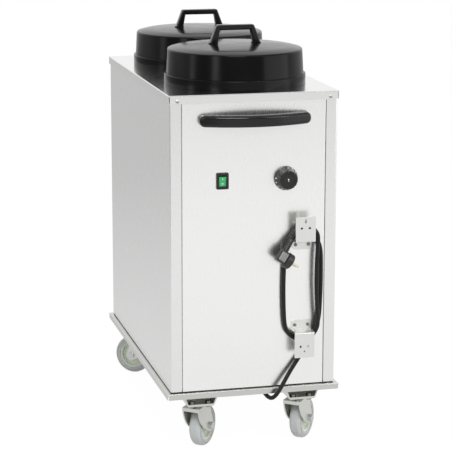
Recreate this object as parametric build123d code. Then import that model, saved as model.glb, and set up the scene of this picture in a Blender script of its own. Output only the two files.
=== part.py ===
from build123d import *
import os
from math import cos, hypot, pi, radians, sin, sqrt, tan

# Heated plate dispenser on castors, with two spring-borne plate wells under black lids.
# Millimetres. +X is to the right seen from the front, -Y is the front, +Z is up.
# The origin is on the floor, under the middle of the whole object's footprint.

# Plate wells, which set the size of the cabinet round them
well_bore = 301.6
well_gap = 70.4
well_side_room = 47.7
well_end_room = 35.7
well_wall = 1.2
well_flange_w = 10.2
well_hole_play = 0.5

# Cabinet of bent stainless sheet
cabinet_h = 702.0
sheet = 1.2
bend_r = 3.5
corner_flange_w = 26.5
panel_gap = 1.5
panel_edge_d = 10.0
lip_w = 20.0
seal_h = 2.5
seal_w = 14.0
seal_inset = 1.5

# Base tray and the top cover, both with turned-down edges open at the corners
base_sheet = 1.5
base_overhang = 9.5
rim_h = 14.0
rim_bend_r = 2.5
rim_corner_gap = 3.0
cover_flange_h = 19.5
cover_gap = 2.0
cover_bend_r = 2.0
cover_corner_gap = 3.0
rivet_inset = 17.5
rivet_drop = 13.5
rivet_head_d = 8.5
rivet_head_h = 1.4
rivet_d = 4.0
hole_play = 0.1
screw_end_gap = 1.0
edge_band = 1.0

# Inner deck under the wells, and the plate guides in them
deck_rise = 43.0
deck_sheet = 1.5
deck_flange_h = 22.0
guide_count = 4
guide_d = 8.0
guide_inset = 10.8
guide_top_gap = 14.0
guide_spacer_d = 7.0
guide_spacer_inset = 60.0
guide_wall_play = 0.3

# Plate platforms on coil springs, and the heating loops under them
platform_play = 19.8
platform_top_gap = 9.0
platform_sheet = 2.5
platform_skirt_h = 20.0
platform_dish = 4.0
platform_edge_r = 2.0
spring_inset = 30.0
spring_wire_d = 5.0
spring_turns = 9
spring_seat_gap = 0.3
heater_inset = 16.0
heater_tube_d = 8.5
heater_height = 26.0
heater_open_deg = 24.0
heater_nut_d = 15.0
heater_nut_h = 5.0

# Lids and their bridge handles
lid_flange_room = 7.0
lid_step_w = 5.0
lid_step_r = 2.5
lid_draft = 3.0
lid_step_h = 24.5
lid_wall_h = 82.0
lid_shoulder_h = 89.0
lid_shoulder_w = 36.0
lid_shoulder_bulge = 1.0
lid_crown_h = 94.0
lid_wall = 3.0
lid_edge_r = 4.0
lid_seat_gap = 0.2
lid_pad_d = 24.0
lid_pad_top = 95.0
lid_pad_bottom = 86.5
lid_handle_span = 104.0
lid_handle_foot = 18.0
lid_handle_bar_l = 90.0
lid_handle_h = 42.0
lid_handle_bar_h = 12.5
lid_handle_w = 19.0
lid_handle_r = 3.5
lid_handle_leg_w = 7.5
lid_handle_end_r = 5.6
lid_screw_d = 5.0
lid_screw_head_d = 9.0
lid_screw_head_h = 3.0
lid_screw_grip = 14.0

# Push handle, a bow of black plastic across the front panel
handle_inset = 67.0
handle_drop = 59.0
handle_h = 27.0
handle_reach = 47.5
handle_end_d = 15.0
handle_foot_l = 32.0
handle_gap_d = 28.0
handle_r = 7.0
handle_nose_r = 12.0
handle_screw_inset = 18.0
handle_screw_d = 5.0
handle_screw_head_d = 9.0
handle_screw_head_h = 3.0
handle_screw_grip = 9.0

# Switch and thermostat on the front panel
control_inset = 123.0
control_drop = 201.0
switch_w = 29.0
switch_h = 38.5
switch_rim = 4.5
switch_rim_r = 3.0
switch_body_w = 25.0
switch_body_h = 34.0
switch_body_d = 24.0
switch_well_w = 17.2
switch_well_h = 26.5
switch_well_d = 16.0
rocker_play = 0.5
rocker_pivot_back = 5.0
rocker_front = 3.2
rocker_tail = 7.0
rocker_tilt_deg = 8.0
rocker_hollow = 1.2
rocker_pin_d = 3.0
rocker_pin_l = 2.0
running_play = 0.05
thermostat_w = 46.0
thermostat_d = 30.0
thermostat_h = 42.0
bushing_d = 10.0
bushing_reach = 6.0
shaft_d = 6.0
shaft_reach = 20.0
shaft_depth = 20.0
knob_base_d = 56.0
knob_face_d = 43.0
knob_reach = 27.0
knob_panel_gap = 0.8
knob_collar_h = 4.0
knob_face_r = 2.5
knob_dish_d = 32.0
knob_dish = 1.5
knob_recess_d = 24.0
knob_recess = 9.0
knob_flutes = 16
knob_flute_d = 4.0

# Cord brackets, two bent strips facing away from each other
bracket_inset = 83.0
bracket_w = 48.0
bracket_sheet = 2.0
bracket_bend_r = 3.0
bracket_reach = 34.0
bracket_tab_h = 24.0
bracket_tab_r = 8.0
bracket_plate_h = 60.0
bracket_plate_r = 2.0
bracket_drop = 348.0
bracket_spacing = 218.0
bracket_screw_x = 15.5
bracket_screw_d = 4.0
bracket_screw_head_d = 8.0
bracket_screw_head_h = 2.2
pin_spacing = 19.0
park_hole_d = 5.6
park_hole_upper = 33.0
park_hole_lower = 33.0
park_slot_w = 4.0
park_slot_l = 11.0
park_slot_rise = 17.0
park_third_drop = 12.0

# Mains lead, gland under the tray, and right-angle plug
cord_d = 10.0
terminal_aside = 85.5
terminal_w = 64.0
terminal_d = 50.0
terminal_h = 26.0
terminal_inset = 62.0
terminal_r = 3.0
gland_d = 18.0
gland_l = 26.0
gland_nose_d = 13.0
gland_drop = 14.5
loop_first_r = 47.25
loop_first_aside = 2.75
loop_first_drop = 27.0
loop_lower_r = 43.25
loop_lower_aside = 6.75
loop_lower_rise = 19.0
loop_last_r = 29.8
loop_last_run = 20.0
loop_near = 8.5
loop_far = 21.0
loop_steps = 6
side_steps = 4
side_bow_first = 2.0
side_bow_left = -3.0
side_bow_last = -5.0
bend_share = 0.45
gap_samples = 240
gap_apart_diameters = 4
lead_straight = 17.0
lead_route = [(-82.0, 0.0, -8.5), (-75.5, 15.0, -11.0), (-67.0, 21.5, -3.5), (-56.5, 22.0, 11.5),
              (-42.5, 18.5, 34.0), (-26.5, 13.5, 58.0)]
meet_share = 0.43
rise_route = [(12.5, -37.0), (32.5, -5.0), (42.0, 29.0)]
plug_aside = 35.0
plug_drop = 47.0
plug_off = 31.5
plug_lean_deg = 55.0
plug_tilt_deg = 9.0
plug_face_d = 37.0
plug_face_l = 16.0
plug_face_r = 3.0
plug_back_l = 37.0
plug_back_w = 22.0
plug_back_low = 14.0
plug_back_high = 16.0
plug_back_r = 5.0
relief_depth = 27.0
relief_end = 46.0
relief_d = 16.0
relief_end_d = 12.4
relief_ribs = 5
relief_rib_w = 2.2
relief_groove = 1.2
plug_pin_d = 4.8
plug_pin_l = 19.0
plug_pin_root = 8.0

# Castors: channel, top plate, fork, axle, hub and tyre
wheel_d = 100.0
tyre_w = 30.0
tyre_t = 15.0
tyre_r = 10.0
tyre_groove_w = 2.4
tyre_groove_d = 1.5
hub_w = 36.0
hub_boss_d = 28.0
hub_web_w = 10.0
hub_rim_w = 26.0
hub_rim_t = 5.0
axle_d = 10.0
axle_head_d = 17.0
axle_head_h = 6.0
castor_side_inset = 74.5
castor_inset = 53.0
castor_trail = 30.0
fork_gap = 0.5
fork_sheet = 3.5
fork_crown_room = 7.0
fork_front = 36.0
fork_back = 26.0
fork_lip_h = 7.0
fork_edge_room = 3.0
fork_foot_r = 13.0
fork_belly = 12.0
fork_bend_r = 3.0
race_d = 52.0
race_play = 0.3
king_pin_d = 12.0
king_head_d = 22.0
king_head_h = 2.5
race_h = 6.0
plate_t = 3.0
plate_w = 62.0
plate_l = 84.0
channel_sheet = 2.5
channel_h = 36.0
channel_floor_w = 66.0
channel_top_w = 92.0
channel_foot_w = 14.0
castor_bolt_x = 20.0
castor_bolt_y = 30.0
castor_bolt_d = 8.0
castor_bolt_head_d = 13.0
castor_bolt_head_h = 5.0
castor_nut_h = 4.2
front_heading_deg = 52.0
rear_left_heading_deg = 145.0
rear_right_heading_deg = 215.0

# Sizes and places that follow from the values above
axle_z = wheel_d / 2
fork_crown_z = wheel_d + fork_crown_room
fork_edge_z = wheel_d + fork_edge_room
fork_top = fork_crown_z + fork_sheet
plate_z = fork_top + race_h
channel_floor_z = plate_z + plate_t
tray_under = channel_floor_z + channel_h
seam_z = tray_under + base_sheet
top_z = seam_z + cabinet_h
deck_z = seam_z + deck_rise
cabinet_w = well_bore + 2 * well_side_room
well_spacing = well_bore + well_gap
cabinet_d = well_spacing + well_bore + 2 * well_end_room
well_od = well_bore + 2 * well_wall
well_flange_d = well_bore + 2 * well_flange_w
guide_circle_d = well_bore - 2 * guide_inset
platform_d = well_bore - 2 * platform_play
heater_loop_d = platform_d - 2 * heater_inset
spring_mean_d = heater_loop_d - 2 * spring_inset
lid_skirt_d = well_flange_d + 2 * lid_flange_room
lid_body_d = lid_skirt_d - 2 * lid_step_w
lid_top_d = lid_body_d - 2 * lid_draft
body_y = (handle_reach - base_overhang) / 2
front_y = body_y - cabinet_d / 2
rear_y = body_y + cabinet_d / 2
rim_z = seam_z - rim_h
panel_bottom = seam_z + seal_h
panel_top = top_z - sheet
deck_top = deck_z + deck_sheet
rivet_x = cabinet_w / 2 - rivet_inset
rivet_z = top_z - rivet_drop
handle_l = cabinet_w - 2 * handle_inset
handle_gap_l = handle_l - 2 * handle_foot_l
handle_screw_x = handle_l / 2 - handle_screw_inset
handle_z = top_z - handle_drop
control_x = cabinet_w / 2 - control_inset
control_z = top_z - control_drop
bracket_x = cabinet_w / 2 - bracket_inset
bracket_upper_z = top_z - bracket_drop
bracket_lower_z = bracket_upper_z - bracket_spacing
terminal_x = bracket_x - terminal_aside
gland_z = tray_under - gland_drop
castor_x = cabinet_w / 2 - castor_side_inset
castor_headings = {"front_left": front_heading_deg, "front_right": front_heading_deg,
                   "rear_left": rear_left_heading_deg, "rear_right": rear_right_heading_deg}
well_ys = {"front": body_y - well_spacing / 2, "rear": body_y + well_spacing / 2}
platform_z = top_z - platform_top_gap
spring_low = deck_top + spring_seat_gap
spring_high = platform_z - platform_dish - platform_sheet - spring_seat_gap
hub_half = hub_w / 2
fork_inner = hub_half + fork_gap
fork_outer = fork_inner + fork_sheet
rocker_y = front_y + rocker_pivot_back


def block(x0, x1, y0, y1, z0, z1):
    """Box between two corners."""
    return Pos((x0 + x1) / 2, (y0 + y1) / 2, (z0 + z1) / 2) * Box(x1 - x0, y1 - y0, z1 - z0)


def disc(x, y, z0, z1, d):
    """Upright cylinder from z0 to z1."""
    return Pos(x, y, (z0 + z1) / 2) * Cylinder(d / 2, z1 - z0)


def peg(x, y0, y1, z, d):
    """Cylinder lying along Y from y0 to y1."""
    return Pos(x, (y0 + y1) / 2, z) * Rot(90, 0, 0) * Cylinder(d / 2, y1 - y0)


def cross_pin(x0, x1, y, z, d):
    """Cylinder lying along X from x0 to x1."""
    return Pos((x0 + x1) / 2, y, z) * Rot(0, 90, 0) * Cylinder(d / 2, x1 - x0)


def turned(points):
    """Solid turned about Z from a closed outline of (radius, height) points."""
    outline = Polyline(*[(r, 0, z) for r, z in points], close=True)
    return revolve(make_face(outline), Axis.Z)


def hexagon_stud(x, y, z0, z1, across):
    """Upright hexagon of the given width across its flats."""
    return Pos(x, y, z0) * extrude(RegularPolygon(across / 2, 6, major_radius=False), z1 - z0)


def all_of(shapes):
    """Group of separate solids kept in one node."""
    return Compound(children=list(shapes))


# Base and cabinet

def base_tray():
    half = cabinet_w / 2 + base_overhang
    y0 = front_y - base_overhang
    y1 = rear_y + base_overhang
    tray = block(-half, half, y0, y1, rim_z, seam_z)
    tray = fillet(tray.faces().sort_by(Axis.Z)[-1].edges(), rim_bend_r)
    inner = half - base_sheet
    tray -= block(-inner, inner, y0 + base_sheet, y1 - base_sheet, rim_z, tray_under)
    notch_top = seam_z - base_sheet - rim_bend_r
    notch = rim_corner_gap
    for x in (-half, half):
        for y in (y0, y1):
            tray -= block(x - notch, x + notch, y - notch, y + notch, rim_z, notch_top)
    return tray


def base_seal():
    half = cabinet_w / 2 - seal_inset
    y0 = front_y + seal_inset
    y1 = rear_y - seal_inset
    outer = block(-half, half, y0, y1, seam_z, panel_bottom)
    return outer - block(-half + seal_w, half - seal_w, y0 + seal_w, y1 - seal_w, seam_z, panel_bottom)


def side_panel():
    """Right side panel, bent round both corners, with a set-back lip behind each end panel."""
    x_out = cabinet_w / 2
    x_in = x_out - corner_flange_w
    outer = Pos(x_out - corner_flange_w / 2, body_y) * Rectangle(corner_flange_w, cabinet_d)
    outer = fillet(outer.vertices().group_by(Axis.X)[-1], bend_r)
    hollow_w = corner_flange_w - sheet
    hollow = Pos(x_in + hollow_w / 2, body_y) * Rectangle(hollow_w, cabinet_d - 2 * sheet)
    hollow = fillet(hollow.vertices().group_by(Axis.X)[-1], bend_r - sheet)
    section = outer - hollow
    step = panel_edge_d + sheet
    for y_face, inward in ((front_y, 1), (rear_y, -1)):
        section += Pos(x_in + sheet / 2, y_face + inward * step / 2) * Rectangle(sheet, step)
        lip_y = y_face + inward * (panel_edge_d + sheet / 2)
        section += Pos(x_in + sheet - (lip_w + sheet) / 2, lip_y) * Rectangle(lip_w + sheet, sheet)
    panel = Pos(0, 0, panel_bottom) * extrude(section, panel_top - panel_bottom)
    for y_face in (front_y, rear_y):
        panel -= peg(rivet_x, y_face - sheet * 2, y_face + sheet * 2, rivet_z, rivet_d + hole_play)
    return panel


def end_panel(y_face, inward):
    """Flat panel with its two upright edges turned back against the side panels' lips."""
    half = cabinet_w / 2 - corner_flange_w - panel_gap
    outer = Pos(0, y_face + inward * panel_edge_d / 2) * Rectangle(2 * half, panel_edge_d)
    face_corners = outer.vertices().group_by(Axis.Y)[0 if inward > 0 else -1]
    outer = fillet(face_corners, bend_r / 2)
    depth = panel_edge_d - sheet
    hollow = Pos(0, y_face + inward * (sheet + depth / 2)) * Rectangle(2 * half - 2 * sheet, depth)
    panel = extrude(outer - hollow, panel_top - panel_bottom)
    return Pos(0, 0, panel_bottom) * panel


def front_panel():
    panel = end_panel(front_y, 1)
    y0 = front_y - sheet
    y1 = front_y + 2 * sheet
    for x in (-handle_screw_x, handle_screw_x):
        panel -= peg(x, y0, y1, handle_z, handle_screw_d + hole_play)
    panel -= peg(control_x, y0, y1, control_z, bushing_d + hole_play)
    switch_x = -control_x
    cut_w = (switch_body_w + hole_play) / 2
    cut_h = (switch_body_h + hole_play) / 2
    panel -= block(switch_x - cut_w, switch_x + cut_w, y0, y1, control_z - cut_h, control_z + cut_h)
    for x, z in bracket_screw_places():
        panel -= peg(x, y0, y1, z, bracket_screw_d + hole_play)
    return panel


def top_cover():
    half = cabinet_w / 2 + cover_gap + sheet
    y0 = front_y - cover_gap - sheet
    y1 = rear_y + cover_gap + sheet
    z0 = top_z - cover_flange_h
    cover = block(-half, half, y0, y1, z0, top_z)
    cover = fillet(cover.faces().sort_by(Axis.Z)[-1].edges(), cover_bend_r)
    cover -= block(-half + sheet, half - sheet, y0 + sheet, y1 - sheet, z0, top_z - sheet)
    notch_top = top_z - sheet - cover_bend_r
    notch = cover_corner_gap
    for x in (-half, half):
        for y in (y0, y1):
            cover -= block(x - notch, x + notch, y - notch, y + notch, z0, notch_top)
    for y in well_ys.values():
        cover -= disc(0, y, z0, top_z + sheet, well_od + 2 * well_hole_play)
    for x in (-rivet_x, rivet_x):
        cover -= peg(x, y0 - sheet, y1 + sheet, rivet_z, rivet_d + hole_play)
    return cover


def cover_rivets():
    """Dome-headed rivets through the cover's front and rear flanges."""
    rivets = []
    for y_face, inward in ((front_y, 1), (rear_y, -1)):
        head_y = y_face - inward * (cover_gap + sheet)
        for x in (-rivet_x, rivet_x):
            dome = turned([(0, 0), (rivet_head_d / 2, 0), (rivet_head_d / 2, rivet_head_h / 3),
                           (rivet_head_d / 4, rivet_head_h), (0, rivet_head_h)])
            dome = Pos(x, head_y, rivet_z) * Rot(90 * inward, 0, 0) * dome
            tail_y = y_face + inward * 2 * sheet
            shank = peg(x, min(head_y, tail_y), max(head_y, tail_y), rivet_z, rivet_d)
            rivets.append(dome + shank)
    return all_of(rivets)


def inner_deck():
    half = cabinet_w / 2 - sheet
    y0 = front_y + panel_edge_d + sheet
    y1 = rear_y - panel_edge_d - sheet
    deck = block(-half, half, y0, y1, deck_z, deck_top)
    for x in (-half, half - deck_sheet):
        deck += block(x, x + deck_sheet, y0, y1, deck_top - deck_flange_h, deck_top)
    return deck


# Plate wells

def well(y):
    """Tube standing on the deck, with a flange that lies on the cover."""
    tube = disc(0, y, deck_top, top_z + well_wall, well_od)
    tube += disc(0, y, top_z, top_z + well_wall, well_flange_d)
    return tube - disc(0, y, deck_top, top_z + well_wall, well_bore)


def plate_guides():
    """Upright rods in both wells, each held off the tube by two short spacers."""
    rods = []
    rod_top = platform_z - guide_top_gap
    spacer_l = (well_bore - guide_circle_d) / 2 - guide_wall_play
    for y in well_ys.values():
        for i in range(guide_count):
            angle = 360 / guide_count * (i + 0.5)
            rod = disc(guide_circle_d / 2, 0, deck_top, rod_top, guide_d)
            for z in (deck_top + guide_spacer_inset, rod_top - guide_spacer_inset):
                rod += cross_pin(guide_circle_d / 2, guide_circle_d / 2 + spacer_l, 0, z, guide_spacer_d)
            rods.append(Pos(0, y, 0) * Rot(0, 0, angle) * rod)
    return all_of(rods)


def heating_elements():
    """Open tubular loop in each well, its two legs standing on the deck."""
    loops = []
    loop_z = deck_top + heater_height
    for y in well_ys.values():
        path = CenterArc((0, 0, loop_z), heater_loop_d / 2, heater_open_deg / 2, 360 - heater_open_deg)
        ring = sweep(Plane(origin=path @ 0, z_dir=path % 0) * Circle(heater_tube_d / 2), path=path)
        for end in (path @ 0, path @ 1):
            ring += Pos(end.X, end.Y, loop_z) * Sphere(heater_tube_d / 2)
            ring += disc(end.X, end.Y, deck_top, loop_z, heater_tube_d)
            ring += hexagon_stud(end.X, end.Y, deck_top, deck_top + heater_nut_h, heater_nut_d)
        loops.append(Pos(0, y, 0) * Rot(0, 0, 90) * ring)
    return all_of(loops)


def platform(y):
    """Shallow dish with a turned-down skirt, which carries the plates."""
    r = platform_d / 2
    shell = disc(0, y, platform_z - platform_skirt_h, platform_z, platform_d)
    shell = fillet(shell.edges().sort_by(Axis.Z)[-1], platform_edge_r)
    mouth_r = r - 2 * platform_dish
    shell -= Pos(0, y, platform_z - platform_dish / 2) * Cone(mouth_r - platform_dish, mouth_r, platform_dish)
    under = platform_z - platform_dish - platform_sheet
    return shell - disc(0, y, platform_z - platform_skirt_h, under, 2 * (r - platform_sheet))


def biarc(p0, t0, p1, t1):
    """Two tangent arcs from p0 with direction t0 to p1 with direction t1."""
    chord = p1 - p0
    both = t0 + t1
    a = both.dot(both) - 4
    b = -2 * chord.dot(both)
    c = chord.dot(chord)
    reach = (-b - sqrt(b * b - 4 * a * c)) / (2 * a)
    q0 = p0 + t0 * reach
    q1 = p1 - t1 * reach
    middle = (q0 + q1) * 0.5
    return [TangentArc(p0, middle, tangent=t0), TangentArc(middle, p1, tangent=(q1 - q0).normalized())]


def self_gap(points, apart, diameter):
    """Least clear space between stretches of a tube that are some points apart."""
    least = None
    for i, p in enumerate(points):
        for q in points[i + apart:]:
            gap = (p - q).length - diameter
            least = gap if least is None else min(least, gap)
    return least


def platform_spring(y):
    """Coil spring from the deck to the platform, one tube of quarter-turn arcs."""
    r = spring_mean_d / 2
    low = spring_low + spring_wire_d / 2
    rise = spring_high - spring_wire_d / 2 - low
    quarters = 4 * spring_turns
    slope = rise / (spring_turns * pi * spring_mean_d)
    places = []
    for i in range(quarters + 1):
        angle = pi / 2 * i
        place = Vector(r * cos(angle), r * sin(angle), low + rise * i / quarters)
        places.append((place, Vector(-sin(angle), cos(angle), slope).normalized()))
    arcs = []
    for (p0, t0), (p1, t1) in zip(places, places[1:]):
        arcs += biarc(p0, t0, p1, t1)
    path = Wire(arcs)
    coil = sweep(Plane(origin=places[0][0], z_dir=places[0][1]) * Circle(spring_wire_d / 2), path=path)
    length = path.length
    expected = pi * spring_wire_d ** 2 / 4 * length
    print("spring length", round(length), "gap", round(rise / spring_turns - spring_wire_d, 2),
          "volume share", round(coil.volume / expected, 4))
    return Pos(0, y, 0) * coil


# Lids

def lid(y):
    """Moulded cover with a stepped skirt, a sloping shoulder, a crowned top and two pads for its handle."""
    z0 = top_z + lid_seat_gap
    shells = []
    for inset in (0, lid_wall):
        skirt_r = lid_skirt_d / 2 - inset
        body_r = lid_body_d / 2 - inset
        edge = Vector(lid_top_d / 2 - inset, z0 + lid_wall_h - inset)
        shoulder = Vector(lid_top_d / 2 - lid_shoulder_w - inset / 2, z0 + lid_shoulder_h - inset)
        step = z0 + lid_step_h - inset
        crown = z0 + lid_crown_h - inset
        rise = crown - shoulder.Y
        dome_r = (shoulder.X ** 2 + rise ** 2) / (2 * rise)
        dome_mid = (shoulder.X / 2, crown - dome_r + sqrt(dome_r ** 2 - shoulder.X ** 2 / 4))
        slope = (shoulder - edge).normalized()
        bulge = (edge + shoulder) * 0.5 + Vector(slope.Y, -slope.X) * lid_shoulder_bulge
        side = Polyline((0, crown), (0, z0), (skirt_r, z0), (skirt_r, step), (body_r, step), (edge.X, edge.Y))
        top = [ThreePointArc(edge, bulge, shoulder), ThreePointArc(shoulder, dome_mid, (0, crown))]
        profile = make_face(side.edges() + [e for arc in top for e in arc.edges()])
        for place, r in ((edge, lid_edge_r - inset), (Vector(skirt_r, step), lid_step_r)):
            profile = fillet(profile.vertices().sort_by_distance(place)[0], r)
        shells.append(revolve(Plane.XZ * profile, Axis.Z))
    outer, inner = shells
    shell = outer - inner
    for x in (-lid_handle_span / 2, lid_handle_span / 2):
        shell += disc(x, 0, z0 + lid_pad_bottom, z0 + lid_pad_top, lid_pad_d)
        shell -= disc(x, 0, z0, z0 + lid_pad_top, lid_screw_d + hole_play)
    return Pos(0, y, 0) * shell


def lid_handle(y):
    """Moulded bridge with raked legs, standing on the lid's pads."""
    foot_z = top_z + lid_seat_gap + lid_pad_top
    top = lid_handle_h
    under = lid_handle_h - lid_handle_bar_h
    foot_out = lid_handle_span / 2 + lid_handle_foot / 2
    foot_in = lid_handle_span / 2 - lid_handle_foot / 2
    bar_out = lid_handle_bar_l / 2
    bar_in = bar_out - lid_handle_leg_w
    half = [(foot_out, 0), (bar_out, top), (-bar_out, top), (-foot_out, 0), (-foot_in, 0), (-bar_in, under),
            (bar_in, under), (foot_in, 0)]
    outline = make_face(Polyline(*[(x, 0, z) for x, z in half], close=True))
    bridge = extrude(outline, lid_handle_w / 2, dir=(0, 1, 0), both=True)
    upper = bridge.edges().filter_by(Axis.Y).group_by(Axis.Z)[-1]
    bridge = fillet(upper, lid_handle_end_r)
    long_edges = bridge.faces().filter_by(Plane.XZ).edges()
    keep = [e for e in long_edges if e.bounding_box().max.Z > lid_handle_r / 2]
    bridge = fillet(keep, lid_handle_r)
    for x in (-lid_handle_span / 2, lid_handle_span / 2):
        bridge -= disc(x, 0, 0, lid_screw_grip, lid_screw_d + hole_play)
    return Pos(0, y, foot_z) * bridge


def lid_screws(y):
    """Two pan-head screws from inside the lid into the handle's feet."""
    screws = []
    pad_under = top_z + lid_seat_gap + lid_pad_bottom
    tip = top_z + lid_seat_gap + lid_pad_top + lid_screw_grip - screw_end_gap
    for x in (-lid_handle_span / 2, lid_handle_span / 2):
        screw = disc(x, y, pad_under - lid_screw_head_h, pad_under, lid_screw_head_d)
        screws.append(screw + disc(x, y, pad_under, tip, lid_screw_d))
    return all_of(screws)


# Front fittings

def push_handle():
    """Bow handle whose two feet stand on the front panel."""
    half = handle_l / 2
    gap = handle_gap_l / 2
    corner = front_y - handle_end_d
    outline = [
        Line((-gap, front_y), (-half, front_y)),
        Line((-half, front_y), (-half, corner)),
        ThreePointArc((-half, corner), (0, front_y - handle_reach), (half, corner)),
        Line((half, corner), (half, front_y)),
        Line((half, front_y), (gap, front_y)),
        ThreePointArc((gap, front_y), (0, front_y - handle_gap_d), (-gap, front_y)),
    ]
    bow = Pos(0, 0, -handle_h / 2) * extrude(make_face(outline), handle_h)
    nose = fillet(Rectangle(handle_l, handle_h).vertices(), handle_nose_r)
    bow &= Pos(0, front_y, 0) * extrude(Plane.XZ * nose, handle_reach)
    front_face = bow.faces().sort_by(Axis.Y)[0]
    bow = fillet(front_face.edges(), handle_r)
    bow = Pos(0, 0, handle_z) * bow
    for x in (-handle_screw_x, handle_screw_x):
        bow -= peg(x, front_y - handle_screw_grip, front_y, handle_z, handle_screw_d + hole_play)
    return bow


def push_handle_screws():
    """Screws through the front panel from inside."""
    screws = []
    back = front_y + sheet
    for x in (-handle_screw_x, handle_screw_x):
        screw = peg(x, front_y - handle_screw_grip + screw_end_gap, back, handle_z, handle_screw_d)
        screws.append(screw + peg(x, back, back + handle_screw_head_h, handle_z, handle_screw_head_d))
    return all_of(screws)


def switch_housing():
    """Switch body with a raised rim round the rocker."""
    x = -control_x
    rim = block(x - switch_w / 2, x + switch_w / 2, front_y - switch_rim, front_y,
                control_z - switch_h / 2, control_z + switch_h / 2)
    rim = fillet(rim.edges().filter_by(Axis.Y), switch_rim_r)
    rim = fillet(rim.faces().sort_by(Axis.Y)[0].edges(), switch_rim_r / 2)
    body = block(x - switch_body_w / 2, x + switch_body_w / 2, front_y, front_y + switch_body_d,
                 control_z - switch_body_h / 2, control_z + switch_body_h / 2)
    well_w = switch_well_w / 2
    well_h = switch_well_h / 2
    hollow = block(x - well_w, x + well_w, front_y - switch_rim, front_y + switch_well_d,
                   control_z - well_h, control_z + well_h)
    pin_reach = well_w + rocker_pin_l
    pin_hole = cross_pin(x - pin_reach, x + pin_reach, rocker_y, control_z, rocker_pin_d + 2 * running_play)
    return rim + body - hollow - pin_hole


def switch_rocker():
    """Lit rocker, pressed in at one end, on two pivot stubs."""
    x = -control_x
    half_w = switch_well_w / 2 - rocker_play
    front = -(rocker_front + rocker_pivot_back)
    half_h = switch_well_h / 2 - rocker_play + front * sin(radians(rocker_tilt_deg))
    tail_h = half_h - rocker_tail
    outline = [(front, -half_h), (front + rocker_hollow, 0), (front, half_h), (rocker_tail / 2, tail_h),
               (rocker_tail, 0), (rocker_tail / 2, -tail_h)]
    face = make_face(Polyline(*[(0, y, z) for y, z in outline], close=True))
    body = extrude(face, half_w, dir=(1, 0, 0), both=True)
    stub = half_w + rocker_pin_l
    body += cross_pin(-stub, stub, 0, 0, rocker_pin_d)
    return Pos(x, rocker_y, control_z) * Rot(rocker_tilt_deg, 0, 0) * body


def thermostat_body():
    """Thermostat behind the panel, with its bushing through it."""
    y0 = front_y + sheet
    body = block(control_x - thermostat_w / 2, control_x + thermostat_w / 2, y0, y0 + thermostat_d,
                 control_z - thermostat_h / 2, control_z + thermostat_h / 2)
    body = fillet(body.edges().filter_by(Axis.Y), bend_r)
    body += peg(control_x, front_y - bushing_reach, y0, control_z, bushing_d)
    bore_d = shaft_d + 2 * running_play
    return body - peg(control_x, front_y - bushing_reach, y0 + shaft_depth, control_z, bore_d)


def thermostat_shaft():
    inner_end = front_y + sheet + shaft_depth - screw_end_gap
    return peg(control_x, front_y - shaft_reach, inner_end, control_z, shaft_d)


def thermostat_knob():
    """Tapered knob with a collar, finger flutes and a dished face."""
    base_r = knob_base_d / 2
    face_r = knob_face_d / 2
    length = knob_reach - knob_panel_gap
    knob = turned([(0, 0), (base_r, 0), (base_r, knob_collar_h), (face_r, length), (0, length)])
    knob = fillet(knob.edges().sort_by(Axis.Z)[-1], knob_face_r)
    knob -= Pos(0, 0, length - knob_dish / 2) * Cone(knob_dish_d / 2 - knob_dish, knob_dish_d / 2, knob_dish)
    flute_low = (base_r, knob_collar_h + knob_flute_d)
    flute_high = (face_r, length + knob_flute_d)
    lean = hypot(flute_low[0] - flute_high[0], flute_high[1] - flute_low[1])
    for i in range(knob_flutes):
        spine = Plane(origin=(flute_low[0], 0, flute_low[1]),
                      z_dir=(flute_high[0] - flute_low[0], 0, flute_high[1] - flute_low[1]))
        flute = extrude(spine * Circle(knob_flute_d / 2), lean)
        knob -= Rot(0, 0, 360 / knob_flutes * i) * flute
    knob -= disc(0, 0, 0, knob_recess, knob_recess_d)
    knob -= disc(0, 0, 0, shaft_reach - knob_panel_gap, shaft_d)
    return Pos(control_x, front_y - knob_panel_gap, control_z) * Rot(90, 0, 0) * knob


# Cord brackets

def bracket_screw_places():
    upper = bracket_upper_z - bracket_tab_h / 2
    lower = bracket_lower_z + bracket_tab_h / 2
    return [(bracket_x + side * bracket_screw_x, z) for z in (upper, lower) for side in (-1, 1)]


def cord_bracket(web_z, up):
    """Bent strip: tab on the panel, web standing out, plate turned away from the tab."""
    s = bracket_sheet
    line = FilletPolyline((front_y - s / 2, web_z - up * bracket_tab_h), (front_y - s / 2, web_z),
                          (front_y - bracket_reach + s / 2, web_z),
                          (front_y - bracket_reach + s / 2, web_z + up * bracket_plate_h),
                          radius=bracket_bend_r)
    strip = trace(line, s)
    profile = Plane.YZ * strip
    bracket = extrude(profile, bracket_w / 2, dir=(1, 0, 0), both=True)
    y_edges = bracket.edges().filter_by(Axis.Y)
    tab_end = web_z - up * bracket_tab_h
    plate_end = web_z + up * bracket_plate_h
    bracket = fillet([e for e in y_edges if abs(e.center().Z - tab_end) < s], bracket_tab_r)
    plate_corners = [e for e in bracket.edges().filter_by(Axis.Y) if abs(e.center().Z - plate_end) < s]
    bracket = fillet(plate_corners, bracket_plate_r)
    for side in (-1, 1):
        bracket -= peg(side * bracket_screw_x, front_y - s, front_y, web_z - up * bracket_tab_h / 2,
                       bracket_screw_d + hole_play)
    hole_z = web_z + (park_hole_upper if up > 0 else -park_hole_lower)
    y0 = front_y - bracket_reach
    for side in (-1, 1):
        bracket -= peg(side * pin_spacing / 2, y0, y0 + s, hole_z, park_hole_d)
    if up > 0:
        slot_plane = Plane(origin=(0, y0, hole_z + park_slot_rise), x_dir=(0, 0, 1), z_dir=(0, 1, 0))
        bracket -= extrude(slot_plane * SlotOverall(park_slot_l, park_slot_w), s)
    else:
        bracket -= peg(0, y0, y0 + s, hole_z - park_third_drop, park_slot_w)
    return Pos(bracket_x, 0, 0) * bracket


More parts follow.
